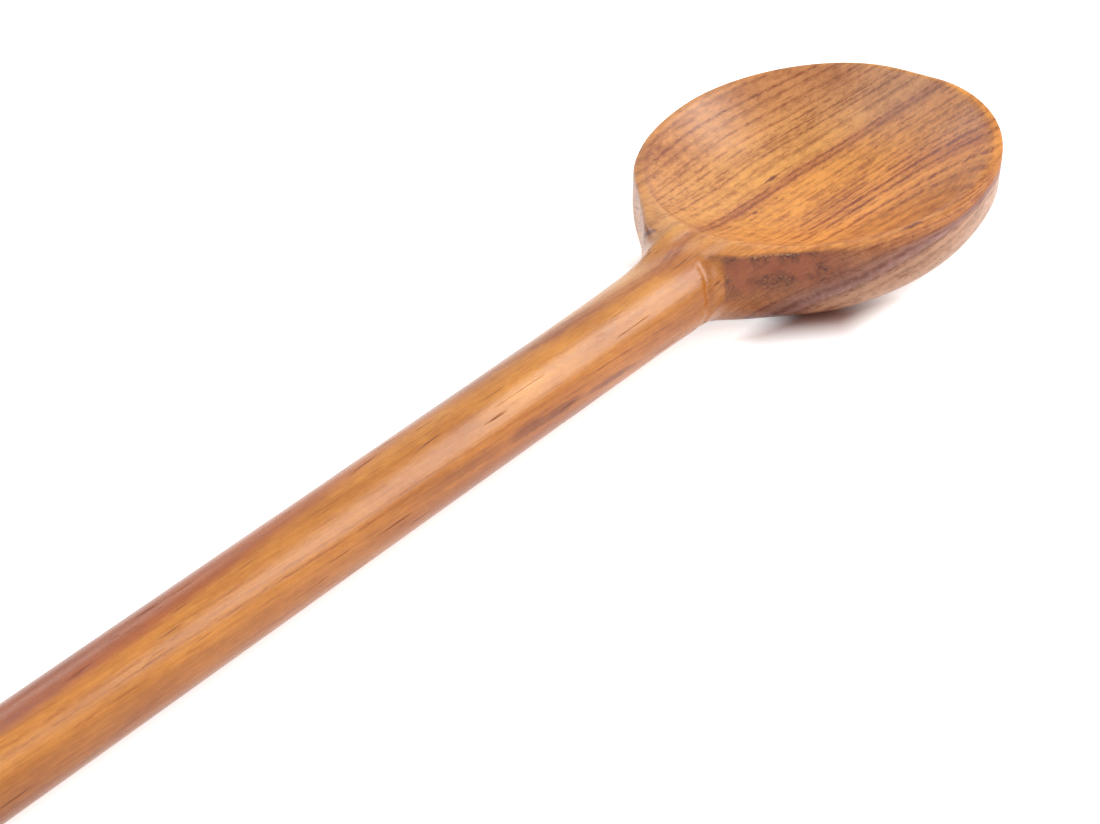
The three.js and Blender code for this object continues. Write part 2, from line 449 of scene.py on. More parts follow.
class TeakBench(NodeBench):
    """The nodes of oiled teak.

    The mesh carries each point's place along the growth layers. A ramp along it gives each layer its
    tone, noise along it gives paler and darker layers and thin lines, and ramps with placed stops give
    the strong streaks. Fibres and pores are noise that is long along X and fine across it.
    """

    def __init__(self, tree: bpy.types.NodeTree, finish: OiledTeak) -> None:
        """Starts with an empty tree for that finish."""
        super().__init__(tree)
        self.finish = finish

    def centred(self, noise: Socket) -> Socket:
        """The noise less its middle."""
        return self.math("SUBTRACT", noise, 0.5)

    def by_part(self, handle: float, bowl: float) -> Socket:
        """One value on the handle and another in the bowl."""
        return self.span(self.bowl, 0.0, 1.0, handle, bowl)

    @cached_property
    def bowl(self) -> Socket:
        """One in the bowl, zero on the handle."""
        return self.zone(Zone.BOWL)

    @cached_property
    def rough(self) -> Socket:
        """The share of the rough cut."""
        return self.zone(Zone.ROUGH)

    @cached_property
    def land(self) -> Socket:
        """One on the level land round the hollow, zero elsewhere."""
        return self.times(self.span(self.zone(Zone.HOLLOW), 0.995, 1.01), self.zone(Zone.LEVEL))

    @cached_property
    def layer(self) -> Socket:
        """The place along the growth layers, swayed by slow noise and frayed by quick noise."""
        sway = self.plus(self.zone(Zone.LAYER), self.centred(self.noise((0.05, 0.1, 0.1), 1.0)), 0.5)
        return self.plus(sway, self.centred(self.noise((0.9, 1.4, 1.4), 2.0, 0.6, (5.0, 2.0, 9.0))), 0.5)

    @cached_property
    def layer_share(self) -> Socket:
        """The place of the point's layer on a ramp over all layers."""
        return self.span(self.layer, self.finish.layer_low, self.finish.layer_high)

    @cached_property
    def fibre(self) -> Socket:
        """Fine noise that is long along the fibres."""
        return self.noise((0.3, 3.4, 3.4), 3.0, 0.6)

    @cached_property
    def grit(self) -> Socket:
        """Noise that is even all round."""
        return self.noise((1.6, 1.9, 1.9), 3.0, 0.6, (2.0, 8.0, 5.0))

    @cached_property
    def dark(self) -> Socket:
        """The share of the streaks and the thin lines, which are weaker on the land."""
        dark = self.larger(self.dark_streaks(), self.thin_lines())
        return self.times(dark, self.span(self.land, 0.0, 1.0, 1.0, 0.45))

    @cached_property
    def pores(self) -> Socket:
        """Dark dashes along the fibres, longer on the handle: the peaks of noises stretched along X.

        Returns:
            One in a pore, zero outside.
        """
        dashes = self.noise((0.3, 3.2, 3.2), 1.0, 0.5, (11.0, 4.0, 6.0))
        short = self.times(self.span(dashes, 0.68, 0.78), self.by_part(0.2, 0.7))
        dashes = self.noise((0.08, 2.1, 2.1), 1.0, 0.4, (3.0, 9.0, 2.0))
        long = self.times(self.span(dashes, 0.69, 0.76), self.span(self.bowl, 0.0, 0.6, 1.0, 0.0))
        return self.larger(short, long)

    def tone(self) -> Socket:
        """The layer's own colour, from a ramp along the layer axis."""
        stops = [(self.finish.on_ramp(spot), linear(colour)) for spot, colour in TONES]
        return self.ramp(self.layer_share, stops)

    def crease(self) -> Socket:
        """Painted shade: a thin dark line just inside the hollow's edge, along the crease.

        Returns:
            The share of the crease tint.
        """
        share = self.zone(Zone.HOLLOW)
        line = self.times(self.span(share, 0.955, 0.985), self.span(share, 0.99, 1.005, 1.0, 0.0))
        return self.times(line, self.zone(Zone.CREASE_SHADE))

    def banding(self) -> Socket:
        """Paler and darker layers, fibres, mottle and slow clouds, as one factor about 1.

        Returns:
            The factor as a grey.
        """
        parts = (
            (self.line_noise(self.layer, 0.5, 3.0, 0.6), self.by_part(0.18, 0.42)),
            (self.fibre, 0.16),
            (self.noise((0.5, 0.9, 0.9), 3.0, 0.65, (6.0, 1.0, 4.0)), self.by_part(0.15, 0.5)),
            (self.noise((0.05, 0.15, 0.15), 2.0, 0.5, (3.0, 7.0, 1.0)), 0.4),
        )
        total = self.by_part(0.89, 0.96)
        for noise, share in parts:
            total = self.plus(total, self.centred(noise), share)
        return total

    def thin_lines(self) -> Socket:
        """Thin dark lines where a noise along the layer axis crosses its middle, fading in and out.

        They show less on the handle, which is sanded finer.

        Returns:
            The share of the line tint, from 0 to 1.
        """
        off = self.math("ABSOLUTE", self.centred(self.line_noise(self.layer, 1.3, 1.0)))
        patch = self.noise((0.15, 0.4, 0.4), 2.0, 0.6, (1.0, 6.0, 2.0))
        line = self.times(self.span(off, 0.0, 0.06, 0.5, 0.0), self.span(patch, 0.42, 0.62))
        return self.times(line, self.by_part(0.15, 1.0))

    def dark_streaks(self) -> Socket:
        """The placed dark layers as ramps along the layer axis, broken into dashes along the fibres.

        A ramp holds each streak's depths at the back, the middle and the tip as red, green and blue, and
        the weights of the three places along X pick among them.

        Returns:
            The share of the streak tint.
        """
        first, middle, last = self.finish.streak_spots
        to_middle = self.span(self.axes[0], first, middle)
        to_tip = self.span(self.axes[0], middle, last)
        at_back = self.math("SUBTRACT", 1.0, to_middle)
        weights = self.vector(at_back, self.math("SUBTRACT", to_middle, to_tip), to_tip)
        depth: Input = 0.0
        for start in range(0, len(DARK_LAYERS), STREAKS_PER_RAMP):
            stops: list[tuple[float, Sequence[float]]] = []
            for streak in DARK_LAYERS[start : start + STREAKS_PER_RAMP]:
                for offset, kept in ((-1.0, 0.0), (0.0, 1.0), (1.0, 0.0)):
                    spot = self.finish.on_ramp(streak.layer + offset * streak.half_width)
                    stops.append((spot, tuple(kept * d for d in streak.depth) + (1.0,)))
            depth = self.larger(self.dot(self.ramp(self.layer_share, stops), weights), depth)
        dashes = self.noise((0.22, 0.9, 0.9), 3.0, 0.6, (4.0, 3.0, 8.0))
        broken = self.times(depth, self.span(dashes, 0.36, 0.62, 0.35, 1.35))
        return self.times(broken, self.by_part(0.4, 1.0))

    def marks(self) -> Socket:
        """The small marks: ellipses in the place along X and along the layer axis, with soft edges.

        Returns:
            The share of the mark tint, from 0 to 1.
        """
        total: Input = 0.0
        for mark in MARKS:
            along = self.math("DIVIDE", self.math("SUBTRACT", self.axes[0], mark.x), mark.length)
            across = self.math("DIVIDE", self.math("SUBTRACT", self.layer, mark.layer), mark.width)
            spot = self.vector(along, across)
            total = self.larger(self.span(self.dot(spot, spot), 0.1, 1.0, mark.depth, 0.0), total)
        return total

    def sound_wood(self) -> Socket:
        """Smooth wood's colour: tone, cut ends, bands, streaks, marks, pores, darker places, painted shade.

        Returns:
            The colour.
        """
        finish = self.finish
        ends = self.times(self.zone(Zone.END_GRAIN), self.span(self.grit, 0.3, 0.7, 0.4, 0.8))
        bands = self.banding()
        russet_and_shade = self.zone(Zone.RUSSET_AND_SHADE)
        base = self.mix(1.0, self.cover(self.tone(), ends, finish.end_brown), bands, "MULTIPLY")
        tints = (
            (self.span(bands, 0.98, 0.76), finish.mottle_tint),
            # reddish wood and painted shade
            (self.span(russet_and_shade, 0.0, 1.0), finish.russet_and_shade_tint),
            (self.span(russet_and_shade, 1.0, 2.0), finish.russet_and_shade_tint),
            (self.span(self.dark, 0.0, 0.62), finish.warm_tint),
            (self.span(self.dark, 0.75, 1.2), finish.plum_tint),
            (self.marks(), finish.mark_tint),
            (self.pores, finish.pore_tint),
            # painted shade in the crease
            (self.crease(), finish.crease_shade_tint),
        )
        for share, colour in tints:
            base = self.mix(share, base, linear(colour), "MULTIPLY")
        return base

    def cut_wood(self, base: Socket) -> Socket:
        """Colour with the rough cut: brown clumps, torn specks in them, and pale straws there and on the rim.

        Args:
            base: the colour of the smooth wood.

        Returns:
            The colour.
        """
        finish = self.finish
        clumps = self.noise((0.3, 0.3, 0.3), 2.0, 0.5, (1.0, 3.0, 9.0))
        shaded = self.span(clumps, 0.4, 0.6)
        browns = self.cover(linear(finish.cut_brown), shaded, finish.cut_shade)
        base = self.mix(self.times(self.rough, self.span(self.grit, 0.3, 0.7, 0.5, 1.0)), base, browns)
        torn = self.times(self.rough, self.times(self.span(self.grit, 0.55, 0.64), shaded))
        base = self.cover(base, self.times(torn, finish.torn_share), finish.torn_brown)
        straws = self.span(self.noise((1.1, 3.0, 3.0), 2.0, 0.5, (9.0, 1.0, 3.0)), 0.56, 0.68)
        in_cut = self.times(self.rough, self.span(clumps, 0.48, 0.6))
        wear = self.times(self.plus(self.zone(Zone.RIM_EDGE), in_cut, 0.3), straws)
        return self.cover(base, self.times(wear, finish.straw_share), finish.straw)

    def roughness(self) -> Socket:
        """Satin on the fibres, duller in the bowl, on the rough cut, on the right lip and in the pores.

        Returns:
            The roughness.
        """
        satin = self.plus(self.span(self.fibre, 0.3, 0.7, 0.22, 0.32), self.bowl, 0.06)
        worn = self.larger(self.rough, self.zone(Zone.LIP))
        return self.plus(self.plus(satin, worn, 0.35), self.pores, 0.4)

    def relief(self) -> Socket:
        """Fine relief: raised fibres, sunk pores and streaks, a torn grit on rough cuts, and a rippled land.

        Returns:
            The bent normal.
        """
        torn = self.times(self.larger(self.rough, self.zone(Zone.RIM_EDGE)), self.grit)
        ripples = self.times(self.land, self.noise((1.0, 0.35, 0.5), 1.0, 0.5, (7.0, 5.0, 0.0)))
        height = self.times(self.fibre, 0.5)
        for value, share in ((self.pores, -0.5), (self.dark, -0.35), (torn, 2.2), (ripples, 1.8)):
            height = self.plus(height, value, share)
        deep = self.finish.relief_height * MM
        inputs = {"Strength": self.finish.relief_strength, "Distance": deep, "Height": height}
        return self.node("ShaderNodeBump", inputs).outputs["Normal"]


@dataclass(frozen=True)
class GrowthLayers:
    """The wood's growth layers: planes across an axis, bent within the bowl.

    Attributes:
        axis: the way across the layers.
        unit: the length, in millimetres, that stations and places across are divided by.
        back: the station behind which the bend stays as it is there.
        bend: millimetres of bend per u, uu, uy, yy, uuu, uuy, uyy and yyy.
        handle_lift: how far the layers lie lower on the handle.
        lift_run: how far behind the widest place they start and end to lie lower.
        flank_slope: how fast they rise towards the tip on the right flank, per millimetre.
        flank_run: the stations between which they rise there.
    """

    axis: tuple[float, float, float] = (0.0297, 0.6307, 0.7760)
    unit: float = 30.0
    back: float = -32.0
    bend: tuple[float, ...] = (-0.536, -1.424, -1.523, -2.007, 0.146, 0.939, -0.462, -4.371)
    handle_lift: float = 2.4
    lift_run: Range = (34.0, 48.0)
    flank_slope: float = 0.21
    flank_run: Range = (-21.5, 7.0)

    def at(self, points: Array, stations: Array, flank: Array) -> Array:
        """Distance along the axis plus a cubic in the station and the place across.

        Args:
            points: points in millimetres.
            stations: their stations.
            flank: one low on the right flank, zero at the land and elsewhere.

        Returns:
            The layer coordinate of each point, in millimetres.
        """
        u = np.maximum(stations, self.back) / self.unit
        y = points[:, 1] / self.unit
        terms = np.stack((u, u * u, u * y, y * y, u**3, u * u * y, u * y * y, y**3), axis=-1)
        lift = self.handle_lift * smoothstep(-stations, *self.lift_run)
        start, stop = self.flank_run
        lift = lift - self.flank_slope * flank * (np.clip(stations, start, stop) - start)
        return points @ np.asarray(self.axis) + terms @ np.asarray(self.bend) + lift


@dataclass(frozen=True)
class SpoonForm:
    """The spoon's lengths in millimetres, and its top and underside worked out from them.

    Stations are measured along X from the bowl's widest place.
    """

    overall_length: float = 250.0
    bowl_half_width: float = 30.0
    tip: float = 36.5
    bowl_back: float = 31.4
    rest_to_widest: float = 22.0
    left_shoulder: float = 8.1
    right_shoulder: float = 4.3
    tip_fullness: float = 2.03
    left_slack: float = 0.5
    slack_spot: Range = (-4.0, 9.0)
    left_bulge: float = 1.0
    bulge_spot: Range = (-23.0, 6.0)
    left_cove: float = 4.0
    right_cove: float = 3.2
    crown_cove: float = 0.6
    cove_side: Range = (1.5, 5.5)
    cove_end: Range = (-30.0, -24.0)
    groove_depth: float = 0.32
    groove_half_width: float = 0.9
    groove_at: float = -42.0
    groove_foot: float = 10.5
    groove_lean: float = 0.5
    groove_side: Range = (2.5, 5.0)
    crest_sunk: float = 0.9
    crest_gone: float = 6.0
    crest_end: Range = (-3.0, 5.0)
    land_end_slope: float = 1.5
    steepest_outline: float = 1.6
    neck_radius: float = 6.5
    end_radius: float = 5.45
    end_dome: float = 4.4
    neck_clearance: float = 1.6
    land_height: float = 17.1
    land_tilt_degrees: float = 5.2
    neck_wall: float = 2.9
    tip_wall: float = 7.0
    tip_keel: float = 7.05
    neck_squareness: float = 2.0
    belly_squareness: float = 3.3
    belly_run: Range = (2.0, 16.0)
    tip_squareness: float = 2.05
    tip_squareness_start: float = 22.0
    crisp_rim: float = 0.35
    rolled_rim: float = 1.6
    rolled_start: Range = (-30.0, -18.0)
    rolled_end: Range = (6.0, 18.0)
    worn_rim: float = 3.0
    worn_end: Range = (-40.0, -34.5)
    tip_rim_squareness: float = 24.0
    keel_start: float = 21.0
    keel_power: float = 1.25
    rest_sanded: float = 0.35
    blend_start: float = 2.1
    blend_length: float = 11.4
    handle_wall: float = 0.9
    rim_left_over: float = 0.25
    left_rim: float = 1.1
    right_rim: float = 2.6
    tip_rim: float = 1.1
    hollow_ahead: float = 3.5
    hollow_depth: float = 10.0
    hollow_power: float = 2.2
    hollow_edge: float = 0.4
    right_hollow_edge: float = 1.0
    right_edge_side: Range = (8.0, 16.0)
    right_edge_start: Range = (-26.0, -14.0)
    flat_edge: float = 0.08

    @property
    def handle_end(self) -> float:
        """Station of the handle's far end."""
        return self.tip - self.overall_length

    @property
    def blend_from(self) -> float:
        """Station where the round handle starts to turn into the bowl."""
        return self.neck(Side.LEFT) - self.blend_start

    @property
    def blend_to(self) -> float:
        """Station where the section is all bowl."""
        return self.blend_from + self.blend_length

    @property
    def keel_end(self) -> float:
        """Height where the keel ends at the tip."""
        return float(self.land(np.float64(self.tip))) - self.tip_keel

    def neck(self, side: Side) -> float:
        """Station where that side's shoulder would meet the handle."""
        shoulder = self.left_shoulder if side is Side.LEFT else self.right_shoulder
        return -(self.bowl_back + shoulder)

    def land(self, u: Array) -> Array:
        """Height of the flat land, a plane that rises to the tip."""
        return self.land_height + math.tan(math.radians(self.land_tilt_degrees)) * u

    def along_handle(self, u: Array) -> Array:
        """Share of the way from the neck to the handle's end."""
        neck = self.neck(Side.LEFT)
        return np.clip((u - neck) / (self.handle_end - neck), 0.0, 1.0)

    def handle_radius(self, u: Array) -> Array:
        """Straight taper from neck to end, times a quarter ellipse over the domed end."""
        dome = np.clip((self.handle_end + self.end_dome - u) / self.end_dome, 0.0, 1.0)
        return lerp(self.neck_radius, self.end_radius, self.along_handle(u)) * np.sqrt(1.0 - dome**2)

    def handle_axis(self, u: Array) -> Array:
        """Height of the handle's axis, which slopes down until the end lies on the table."""
        return lerp(self.neck_clearance + self.neck_radius, self.end_radius, self.along_handle(u))

    def bowl_width(self, u: Array, side: Side) -> Array:
        """Half width of the bowl alone: half an oval, then its tangent that points at the neck.

        The left half is a little slacker beside the widest place and fuller behind it.

        Args:
            u: stations.
            side: the half of the spoon.

        Returns:
            The half width at each station; it goes below zero past the neck.
        """
        neck = self.neck(side)
        across = self.neck_radius / self.bowl_half_width
        along = neck / self.bowl_back
        angle = math.atan2(across, along) - math.acos(1.0 / math.hypot(across, along))
        touch_x = self.bowl_back * math.cos(angle)
        touch_y = self.bowl_half_width * math.sin(angle)
        slope = (touch_y - self.neck_radius) / (touch_x - neck)
        back = self.bowl_half_width * fall(np.minimum(u / self.bowl_back, 0.0), 2.0)
        nose = self.bowl_half_width * fall(np.maximum(u / self.tip, 0.0), self.tip_fullness)
        wide = np.where(u < touch_x, touch_y + slope * (u - touch_x), np.where(u < 0.0, back, nose))
        if side is Side.RIGHT:
            return wide
        wide = wide - self.left_slack * hill(u, *self.slack_spot)
        return wide + self.left_bulge * hill(u, *self.bulge_spot)

    def rim_radius(self, u: Array, side: Side) -> Array:
        """How far the rim's edge is rounded: crisp, but worn away at the left neck and rolled on the right.

        Args:
            u: stations.
            side: the half of the spoon.

        Returns:
            The rounding at each station.
        """
        if side is Side.LEFT:
            return lerp(self.worn_rim, self.crisp_rim, smoothstep(u, *self.worn_end))
        rolled = smoothstep(u, *self.rolled_start) * (1.0 - smoothstep(u, *self.rolled_end))
        return lerp(self.crisp_rim, self.rolled_rim, rolled)

    def outside(self, u: Array, y: Array, z: Array, side: Side) -> Array:
        """How far a point lies outside the spoon before the hollow is cut, below zero inside.

        The bowl is what lies within its outline and under the land, with a rounded rim. The handle is
        a round bar that sinks as it enters the bowl. The two are joined with a cove that is wide at
        the sides and narrow over the crown, and a shallow tool groove runs round the neck's right.

        Args:
            u: stations.
            y: places across, as distances from the middle.
            z: heights.
            side: the half of the spoon.

        Returns:
            The distance, in millimetres; near the surface it is close to the true one.
        """
        width = self.bowl_width(u, side)
        rise = self.bowl_width(u + SLOPE_STEP, side) - self.bowl_width(u - SLOPE_STEP, side)
        slope = rise / (2.0 * SLOPE_STEP)
        lean = 1.0 / np.sqrt(1.0 + np.clip(slope, 0.0, self.steepest_outline) ** 2)
        past = np.where(u < 0.0, np.maximum(self.handle_radius(u) - width, 0.0), 0.0)
        wall = (y - width + (self.land_end_slope - 1.0) * past) * lean
        bowl = soft_max(wall, z - self.section(u)["crown"], self.rim_radius(u, side))
        sunk = self.crest_sunk * smoothstep(u, self.blend_from, self.blend_to)
        gone = self.crest_gone * smoothstep(u - self.blend_to, *self.crest_end)
        handle = np.hypot(y, z - self.handle_axis(u)) - self.handle_radius(u) + sunk + gone
        radius = self.left_cove if side is Side.LEFT else self.right_cove
        radius = lerp(self.crown_cove, radius, smoothstep(y, *self.cove_side))
        joined = soft_min(bowl, handle, radius * (1.0 - smoothstep(u, *self.cove_end)))
        if side is Side.LEFT:
            return joined
        spot = self.groove_at + self.groove_lean * np.maximum(z - self.groove_foot, 0.0)
        groove = hill(u, spot, self.groove_half_width) * smoothstep(y, *self.groove_side)
        return joined + self.groove_depth * groove

    def reach(self, u: Array, z: Array, side: Side) -> Array:
        """Half width at a height."""
        low = np.zeros(np.broadcast_shapes(u.shape, z.shape))
        return last_inside(low, low + 2.0 * self.bowl_half_width, lambda y: self.outside(u, y, z, side) < 0.0)

    def top(self, u: Array, y: Array, side: Side) -> Array:
        """Height at a place across before the hollow is cut."""
        low = np.broadcast_to(self.section(u)["side"], y.shape)
        return last_inside(low, low + 3.0 * self.tip_wall, lambda z: self.outside(u, abs(y), z, side) < 0.0)

    def half_width(self, u: Array, side: Side) -> Array:
        """Half width in plan, where the wall is at its widest."""
        return self.reach(u, self.section(u)["side"], side)

    @property
    def hollow_half(self) -> float:
        """Half width of the hollow at its widest."""
        return self.bowl_half_width - 0.5 * (self.left_rim + self.right_rim)

    def hollow_half_width(self, u: Array) -> Array:
        """Half width of the hollow at the land, an ellipse with a longer back half."""
        share = (u - self.hollow_ahead) / self.hollow_reach(u)
        return self.hollow_half * fall(share, 2.0)

    def hollow_reach(self, u: Array) -> Array:
        """Length of the hollow's half ellipse on that side of its deepest place."""
        ahead = self.tip - self.tip_rim - self.hollow_ahead
        return np.where(u < self.hollow_ahead, self.bowl_back + self.hollow_ahead, ahead)

    def hollow_share(self, u: Array, y: Array) -> Array:
        """Distance from the hollow's deepest place over that of its edge."""
        across = (y - 0.5 * (self.right_rim - self.left_rim)) / self.hollow_half
        return np.hypot((u - self.hollow_ahead) / self.hollow_reach(u), across)

    def hollow(self, u: Array, y: Array) -> Array:
        """Height of the hollow: the land, less the depth times one less a power of the share to the edge."""
        depth = self.hollow_depth * (self.hollow_share(u, y) ** self.hollow_power - 1.0)
        return self.land(u) + depth

    def section(self, u: Array) -> dict[str, Array]:
        """Heights and squareness of the section at each station.

        The round handle section and the bowl section are blended over the neck.

        Args:
            u: stations.

        Returns:
            side, crown, keel and wall top heights, and the power of the lower half.
        """
        neck = self.neck(Side.LEFT)
        bowl = smoothstep(u, self.blend_from, self.blend_to)
        to_tip = np.clip((u - neck) / (self.tip - neck), 0.0, 1.0)
        wall = lerp(self.neck_wall, self.tip_wall, to_tip)
        keel_run = np.clip((u + self.keel_start) / (self.tip + self.keel_start), 0.0, 1.0)
        side = self.land(u) - wall
        crown = side + wall * fall(np.clip(u / self.tip, 0.0, 1.0), self.tip_rim_squareness)
        keel = lerp(self.keel_end, -self.rest_sanded, fall(keel_run, self.keel_power))
        axis = self.handle_axis(u)
        radius = self.handle_radius(u)
        under = lerp(self.neck_squareness, self.belly_squareness, smoothstep(u - neck, *self.belly_run))
        start = self.tip_squareness_start
        under = lerp(under, self.tip_squareness, np.clip((u + start) / (self.tip + start), 0.0, 1.0))
        return {
            "side": lerp(axis, side, bowl),
            "crown": crown,
            "keel": lerp(axis - radius, keel, bowl),
            "wall_top": lerp(
                axis + self.handle_wall * radius, crown - self.rim_left_over * wall / self.neck_wall, bowl
            ),
            "under_power": lerp(2.0, under, bowl),
        }


@dataclass
class SkinZones:
    """Where the skin is cut, worn or darker than elsewhere, and where shade is painted on it.

    Stations, places and heights are in millimetres. A range runs from none to full. A spot is the middle
    and the reach of a bell curve.

    Attributes:
        form: the spoon's form.
        wood: its growth layers.
        points: the skin's points in millimetres.
        normals: its normals there.
    """

    form: SpoonForm
    wood: GrowthLayers
    points: Array
    normals: Array
    bowl_delay: float = 3.0
    high_above: Range = (-9.0, -4.0)
    end_grain: Range = (0.12, 0.85)
    low_end_grain: float = 0.35
    edge_reach: float = 0.45
    lip_reach: float = 2.4
    lip_side: Range = (0.0, 8.0)
    level_above: Range = (-0.6, -0.3)
    # how dark the painted crease shade is
    crease_shade_depth: float = 0.45
    crease_run: Range = (-4.0, -14.0)
    crease_middle: float = 8.0
    crease_lean: float = 0.4
    flank_up: Range = (0.6, 0.2)
    cut_start: Range = (-38.5, -37.9)
    cut_end: Range = (-20.0, -27.0)
    cut_foot: float = 10.0
    cut_lean: float = 0.25
    cut_side: Range = (0.0, 6.0)
    bowl_cut: float = 0.1
    outer_hollow: Range = (1.0, 1.05)
    outer_up: Range = (0.3, 0.0)
    flank_above: Range = (-0.2, -3.2)
    flank_side: Range = (6.0, 20.0)
    brink_degrees: float = 70.0
    brink_at: float = -78.0
    brink_slope: float = 0.5
    brink_limits: Range = (60.0, 108.0)
    upper_end: Range = (8.0, -14.0)
    upper_start: Range = (-60.0, 0.0)
    near_handle: float = 0.1
    far_handle: float = 0.6
    far_handle_runs: tuple[Range, Range] = ((-85.0, -112.0), (-100.0, -150.0))
    lower_right: tuple[float, float, float] = (0.0, -0.9, -0.44)
    lower_turn: Range = (0.3, 0.9)
    lower_depth: float = 0.6
    patch_least: float = 0.4
    patch_spot: Range = (-82.0, 24.0)
    far_wall_depth: float = 0.05
    far_wall_hollow: Range = (0.7, 0.95)
    far_wall_run: Range = (20.0, 32.0)
    far_wall_lean: float = 0.8
    # painted shade that darkens the upward faces on top of the neck
    neck_top_shade_depth: float = 0.5
    neck_top_shade_spot: Range = (-43.0, 5.0)
    neck_top_shade_up: Range = (0.5, 0.9)
    stain_depth: float = 0.7
    stain_spot: Range = (21.0, 4.5)
    stain_layer_spot: Range = (2.1, 1.6)
    stain_hollow: Range = (1.02, 0.95)
    russet_and_shade_most: float = 2.0

    def __post_init__(self) -> None:
        """Works out the stations, heights and shares that the zones are made from."""
        form = self.form
        self.u = self.points[:, 0] - form.rest_to_widest
        self.y = self.points[:, 1]
        self.up = self.normals[:, 2]
        self.above = self.points[:, 2] - form.land(self.u)
        left, right = (form.half_width(self.u, side) for side in Side)
        self.edge_gap = np.hypot(np.where(self.y > 0.0, left, right) - np.abs(self.y), self.above)
        self.hollow = form.hollow_share(self.u, self.y)
        self.bowl = smoothstep(self.u, form.blend_from + self.bowl_delay, form.blend_to)
        self.high = smoothstep(self.above, *self.high_above)

    @cached_property
    def layer(self) -> Array:
        """Place along the growth layers, which rise towards the tip low on the outside of the right flank.

        Returns:
            The layer coordinate of each point.
        """
        outer = np.maximum(smoothstep(self.hollow, *self.outer_hollow), smoothstep(self.up, *self.outer_up))
        low = smoothstep(self.above, *self.flank_above) * outer
        return self.wood.at(self.points, self.u, low * smoothstep(-self.y, *self.flank_side))

    def rough(self) -> Array:
        """The rough cut: the upper right flank beside the neck, and faintly the rest of that flank.

        Returns:
            The share of the cut.
        """
        start = self.u - self.cut_lean * np.maximum(self.points[:, 2] - self.cut_foot, 0.0)
        cut = smoothstep(start, *self.cut_start) * smoothstep(self.u, *self.cut_end)
        flank = smoothstep(self.up, *self.flank_up) * self.high * smoothstep(-self.y, *self.cut_side)
        return flank * np.clip(self.bowl_cut * self.bowl + cut, 0.0, 1.0)

    def russet_and_shade(self) -> Array:
        """The darker places of the handle and of the bowl.

        On the handle they are its upper left towards its end, which is reddish wood with painted shade on
        the side away from the lamps, and its lower right. In the bowl they are the far wall, painted shade on
        the top of the neck and a stain near the tip.

        Returns:
            The strength, up to twice the tint.
        """
        u = self.u
        turn = np.degrees(np.arctan2(self.up, self.normals[:, 1]))
        brink = np.clip(self.brink_degrees - self.brink_slope * (u - self.brink_at), *self.brink_limits)
        # reddish wood, and painted shade on the handle's side that faces away from the lamps
        upper_left_tone_and_shade = smoothstep(turn - brink, *self.upper_end) * smoothstep(turn, *self.upper_start)
        far_end = sum(smoothstep(u, *run) for run in self.far_handle_runs)
        near_end = self.near_handle + self.far_handle * far_end
        lower_right = smoothstep(self.normals @ np.array(self.lower_right), *self.lower_turn)
        patches = lerp(self.patch_least, 1.0, hill(u, *self.patch_spot))
        handle = upper_left_tone_and_shade * near_end + self.lower_depth * patches * lower_right
        far_run = smoothstep(u + self.far_wall_lean * self.y, *self.far_wall_run)
        far_wall = smoothstep(self.hollow, *self.far_wall_hollow) * far_run
        # painted shade on the neck's upward faces
        neck_top_shade = hill(u, *self.neck_top_shade_spot) * smoothstep(self.up, *self.neck_top_shade_up)
        stain = hill(u, *self.stain_spot) * hill(self.layer, *self.stain_layer_spot)
        stain = stain * smoothstep(self.hollow, *self.stain_hollow)
        bowl = self.far_wall_depth * far_wall + self.neck_top_shade_depth * neck_top_shade + self.stain_depth * stain
        return np.clip((1.0 - self.bowl) * handle + bowl, 0.0, self.russet_and_shade_most)

    def shares(self) -> dict[Zone, Array]:
        """Every zone's value at every point.

        Cut fibre ends follow the normal's part along X. The rim's edge is what lies close to it, and the
        lip what lies near it on the right. Level is what lies at the land's height. The painted crease
        shade runs round the back of the hollow.

        Returns:
            The values by zone.
        """
        ends = lerp(self.low_end_grain, 1.0, self.high)
        lip = hill(self.edge_gap, 0.0, self.lip_reach) * smoothstep(-self.y, *self.lip_side)
        round_back = self.u + self.crease_lean * np.abs(self.y - self.crease_middle)
        return {
            Zone.LAYER: self.layer,
            Zone.BOWL: self.bowl,
            Zone.END_GRAIN: smoothstep(np.abs(self.normals[:, 0]), *self.end_grain) * ends,
            Zone.RIM_EDGE: self.bowl * hill(self.edge_gap, 0.0, self.edge_reach),
            Zone.LIP: self.bowl * lip,
            Zone.LEVEL: self.bowl * smoothstep(self.above, *self.level_above),
            Zone.HOLLOW: self.hollow,
            Zone.CREASE_SHADE: self.crease_shade_depth * smoothstep(round_back, *self.crease_run),
            Zone.ROUGH: self.rough(),
            Zone.RUSSET_AND_SHADE: self.russet_and_shade(),
        }


